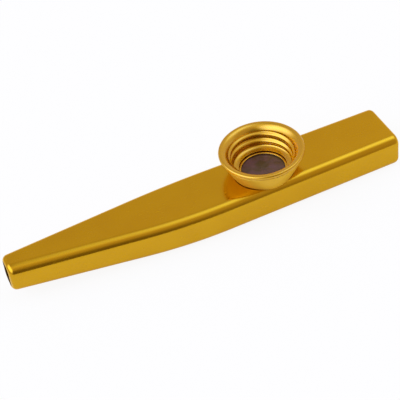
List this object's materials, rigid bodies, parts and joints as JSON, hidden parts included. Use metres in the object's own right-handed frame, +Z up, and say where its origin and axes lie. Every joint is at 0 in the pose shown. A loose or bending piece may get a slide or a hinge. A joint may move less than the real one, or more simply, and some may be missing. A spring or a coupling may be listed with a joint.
{
  "type": "kazoo",
  "caption": "Gold-coloured metal kazoo with a flattened tapering tube, a flared threaded collar and a screw cap that holds a membrane in a hoop.",
  "frame": {"origin": "centre of the bounding box in X and Y, on the flat underside of the tube", "axes": "+X runs along the tube from the mouthpiece to the wide end, +Y is across it to the left when looking from the mouthpiece, +Z is up through the screw cap"},
  "size_m": [0.1206, 0.0252, 0.0183],
  "materials": {
    "gold_tube": "polished gold-coloured anodising",
    "gold_turned": "bright turned, gold-coloured anodising",
    "film": "thin translucent brown film"
  },
  "bodies": {
    "tube_and_collar": {"body_tube": "gold_tube", "collar": "gold_tube"},
    "membrane_unit": {"membrane_hoop": "gold_turned", "membrane": "film"},
    "cap": {"screw_cap": "gold_turned"}
  },
  "joints": [
    {"name": "cap_rise", "type": "slide", "parent": "tube_and_collar", "child": "membrane_unit", "axis": [0, 0, 1], "range_m": [0, 0.0052]},
    {"name": "cap_turn", "type": "hinge", "parent": "membrane_unit", "child": "cap", "pos_m": [0.01964, 0, 0.015], "axis": [0, 0, 1], "range_deg": [0, 810]}
  ],
  "couplings": [
    {"joint": "cap_rise", "follows": "cap_turn", "m_per_rad": 0.00036287}
  ]
}
